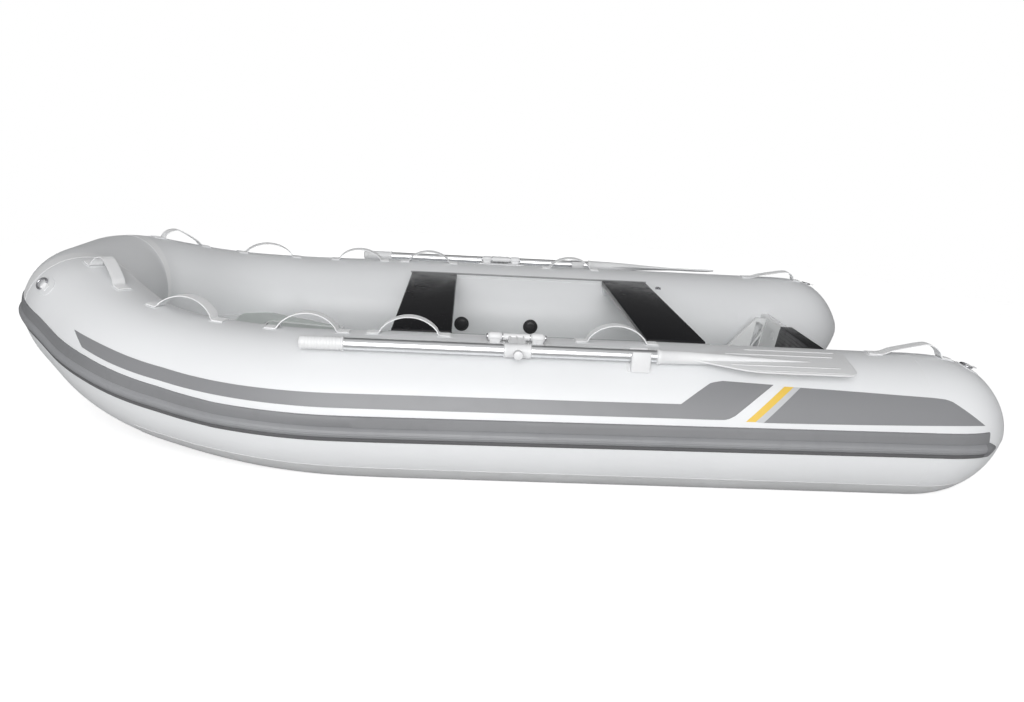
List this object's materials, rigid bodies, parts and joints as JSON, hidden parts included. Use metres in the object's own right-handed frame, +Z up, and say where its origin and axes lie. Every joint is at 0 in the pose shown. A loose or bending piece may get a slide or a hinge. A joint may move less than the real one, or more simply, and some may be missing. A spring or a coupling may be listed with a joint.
{
  "type": "rigid inflatable tender",
  "caption": "Small rigid inflatable tender afloat: two side tubes and a bow tube on a V hull, with seats, oars in rowlocks, grab handles and a bow locker.",
  "frame": {"origin": "on the waterline plane, on the centreline, halfway between the stern cone tips and the front of the bow tube", "axes": "+X to the bow, +Y to port, +Z up"},
  "size_m": [3.2733, 1.7566, 0.674],
  "materials": {
    "tube_fabric": "satin coated fabric",
    "strake_rubber": "satin",
    "hull_gelcoat": "gloss gelcoat",
    "deck_nonskid": "matt non-skid",
    "black_plastic": "satin",
    "seat_gloss": "gloss",
    "webbing": "woven",
    "steel": "polished",
    "shaft_aluminium": "polished",
    "white_plastic": "satin"
  },
  "bodies": {
    "boat": {"tube_port": "tube_fabric", "tube_bow": "tube_fabric", "tube_starboard": "tube_fabric", "rub_strake_port": "strake_rubber", "rub_strake_bow": "strake_rubber", "rub_strake_starboard": "strake_rubber", "hull": "hull_gelcoat", "transom": "hull_gelcoat", "transom_knee_port": "hull_gelcoat", "transom_knee_starboard": "hull_gelcoat", "bow_locker": "hull_gelcoat", "deck": "deck_nonskid", "keel_strip": "black_plastic", "motor_pad_inner": "black_plastic", "motor_pad_outer": "black_plastic", "inflation_valves_port": "black_plastic", "inflation_valves_starboard": "black_plastic", "drain_plug": "black_plastic", "thwart_forward": "seat_gloss", "thwart_aft": "seat_gloss", "grab_handles_port": "webbing", "grab_handles_starboard": "webbing", "seat_track_port": "webbing", "seat_track_starboard": "webbing", "locker_hinge": "steel", "bow_ring_port": "steel", "bow_ring_starboard": "steel", "stern_ring_port": "steel", "stern_ring_starboard": "steel", "rowlock_base_port": "white_plastic", "rowlock_base_starboard": "white_plastic", "oar_clip_port": "white_plastic", "oar_clip_starboard": "white_plastic"},
    "oar_port": {"oar_shaft_port": "shaft_aluminium", "oar_grip_port": "white_plastic", "oar_blade_port": "white_plastic", "oar_collar_port": "white_plastic"},
    "oar_starboard": {"oar_shaft_starboard": "shaft_aluminium", "oar_grip_starboard": "white_plastic", "oar_blade_starboard": "white_plastic", "oar_collar_starboard": "white_plastic"},
    "locker_lid": {"bow_locker_lid": "deck_nonskid"}
  },
  "joints": [
    {"name": "oar_lift_port", "type": "hinge", "parent": "boat", "child": "oar_port", "pos_m": [-0.05, 0.67983, 0.44688], "axis": [1, 0, 0], "range_deg": [0, 90]},
    {"name": "oar_lift_starboard", "type": "hinge", "parent": "boat", "child": "oar_starboard", "pos_m": [-0.05, -0.67983, 0.44688], "axis": [-1, 0, 0], "range_deg": [0, 90]},
    {"name": "locker_lid_hinge", "type": "hinge", "parent": "boat", "child": "locker_lid", "pos_m": [0.8925, 0, 0.2355], "axis": [0, 1, 0], "range_deg": [0, 95]}
  ]
}
